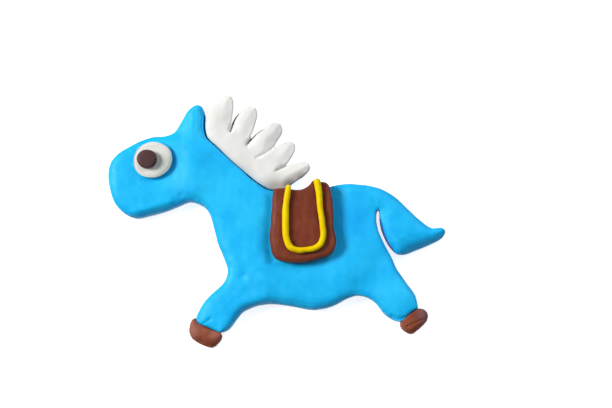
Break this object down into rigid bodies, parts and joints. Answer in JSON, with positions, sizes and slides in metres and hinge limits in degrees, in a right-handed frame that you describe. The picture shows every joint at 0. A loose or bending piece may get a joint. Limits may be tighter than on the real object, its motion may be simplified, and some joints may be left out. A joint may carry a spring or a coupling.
{
  "type": "clay horse figurine",
  "caption": "Flat relief horse in modelling clay, lying on its side, with a lobed mane, disc eye, saddle with rolled trim and pressed-on hooves.",
  "frame": {"origin": "middle of the figure's box, on the face that rests on the table", "axes": "+Z out of the table towards the modelled side, -X towards the muzzle, +Y towards the back and mane"},
  "size_m": [0.1009, 0.0756, 0.012],
  "materials": {
    "body_clay": "matte modelling clay, smoothed with the fingers",
    "mane_clay": "matte modelling clay, smoothed with the fingers",
    "eye_white_clay": "matte modelling clay, pressed flat",
    "eye_pupil_clay": "matte modelling clay, pressed flat",
    "saddle_clay": "matte modelling clay, pressed flat",
    "trim_clay": "matte modelling clay, rolled between the fingers",
    "hoof_clay": "matte modelling clay, with fingerprint ridges"
  },
  "bodies": {
    "root": {"body": "body_clay", "mane": "mane_clay", "eye_white": "eye_white_clay", "eye_pupil": "eye_pupil_clay", "saddle": "saddle_clay", "saddle_trim": "trim_clay", "front_hoof": "hoof_clay", "hind_hoof": "hoof_clay"}
  },
  "joints": []
}
